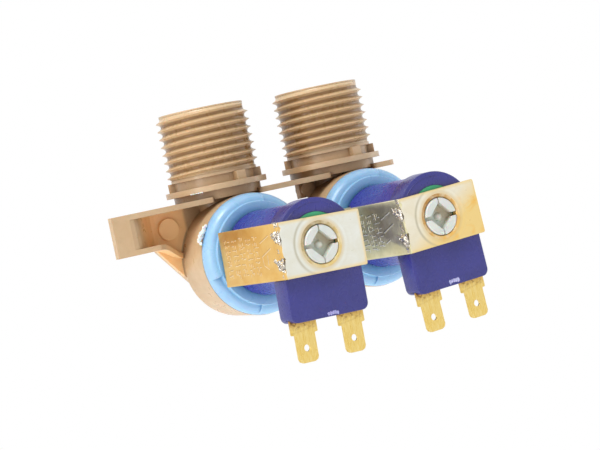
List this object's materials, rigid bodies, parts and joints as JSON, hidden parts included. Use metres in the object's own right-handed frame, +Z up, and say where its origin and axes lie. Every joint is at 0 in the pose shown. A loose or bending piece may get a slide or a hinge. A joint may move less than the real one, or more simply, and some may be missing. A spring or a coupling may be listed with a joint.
{
  "type": "washing machine inlet valve",
  "caption": "Twin solenoid water valve: threaded hose inlets on a mounting plate, with a coil in a steel yoke on each diaphragm chamber.",
  "frame": {"origin": "middle of the mounting plate's top face, midway between the inlet axes", "axes": "+Z up the inlets, +X from valve a to valve b, the coils face -Y and the outlet +Y"},
  "size_m": [0.0989, 0.0868, 0.0761],
  "materials": {
    "body_nylon": "tan glass-filled nylon, slightly mottled",
    "white_nylon": "milky white nylon",
    "ring_nylon": "pale blue nylon, satin",
    "case_nylon": "blue-violet nylon, satin",
    "bobbin_nylon": "green nylon, satin",
    "winding_copper": "enamelled copper wire",
    "black_rubber": "black rubber",
    "plunger_steel": "turned stainless steel",
    "spring_steel": "stainless wire",
    "plain_steel": "zinc-plated steel",
    "passivated_steel": "zinc-plated and yellow-passivated steel, iridescent",
    "terminal_brass": "bright brass"
  },
  "bodies": {
    "valve": {"valve_body": "body_nylon", "inlet_screen_a": "white_nylon", "flow_washer_a": "black_rubber", "retaining_ring_a": "ring_nylon", "guide_tube_a": "white_nylon", "diaphragm_a": "black_rubber", "plunger_spring_a": "spring_steel", "coil_bobbin_a": "bobbin_nylon", "coil_winding_a": "winding_copper", "coil_case_a": "case_nylon", "flux_sleeve_a": "plain_steel", "yoke_strap_a": "passivated_steel", "yoke_front_plate_a": "passivated_steel", "terminal_left_a": "terminal_brass", "terminal_right_a": "terminal_brass", "inlet_screen_b": "white_nylon", "flow_washer_b": "black_rubber", "retaining_ring_b": "ring_nylon", "guide_tube_b": "white_nylon", "diaphragm_b": "black_rubber", "plunger_spring_b": "spring_steel", "coil_bobbin_b": "bobbin_nylon", "coil_winding_b": "winding_copper", "coil_case_b": "case_nylon", "flux_sleeve_b": "plain_steel", "yoke_strap_b": "passivated_steel", "yoke_front_plate_b": "passivated_steel", "terminal_left_b": "terminal_brass", "terminal_right_b": "terminal_brass"},
    "plunger_a": {"plunger_a": "plunger_steel", "plunger_tip_a": "black_rubber"},
    "insert_a": {"diaphragm_insert_a": "white_nylon"},
    "plunger_b": {"plunger_b": "plunger_steel", "plunger_tip_b": "black_rubber"},
    "insert_b": {"diaphragm_insert_b": "white_nylon"}
  },
  "joints": [
    {"name": "plunger_a_lift", "type": "slide", "parent": "valve", "child": "plunger_a", "axis": [0, -1, 0], "range_m": [0, 0.0024], "stiffness_N_per_m": 100, "springref_m": -0.01, "deforming": ["plunger_spring_a"]},
    {"name": "diaphragm_a_lift", "type": "slide", "parent": "valve", "child": "insert_a", "axis": [0, -1, 0], "range_m": [0, 0.00144], "deforming": ["diaphragm_a"]},
    {"name": "plunger_b_lift", "type": "slide", "parent": "valve", "child": "plunger_b", "axis": [0, -1, 0], "range_m": [0, 0.0024], "stiffness_N_per_m": 100, "springref_m": -0.01, "deforming": ["plunger_spring_b"]},
    {"name": "diaphragm_b_lift", "type": "slide", "parent": "valve", "child": "insert_b", "axis": [0, -1, 0], "range_m": [0, 0.00144], "deforming": ["diaphragm_b"]}
  ],
  "couplings": [
    {"joint": "diaphragm_a_lift", "follows": "plunger_a_lift", "ratio": 0.6},
    {"joint": "diaphragm_b_lift", "follows": "plunger_b_lift", "ratio": 0.6}
  ]
}
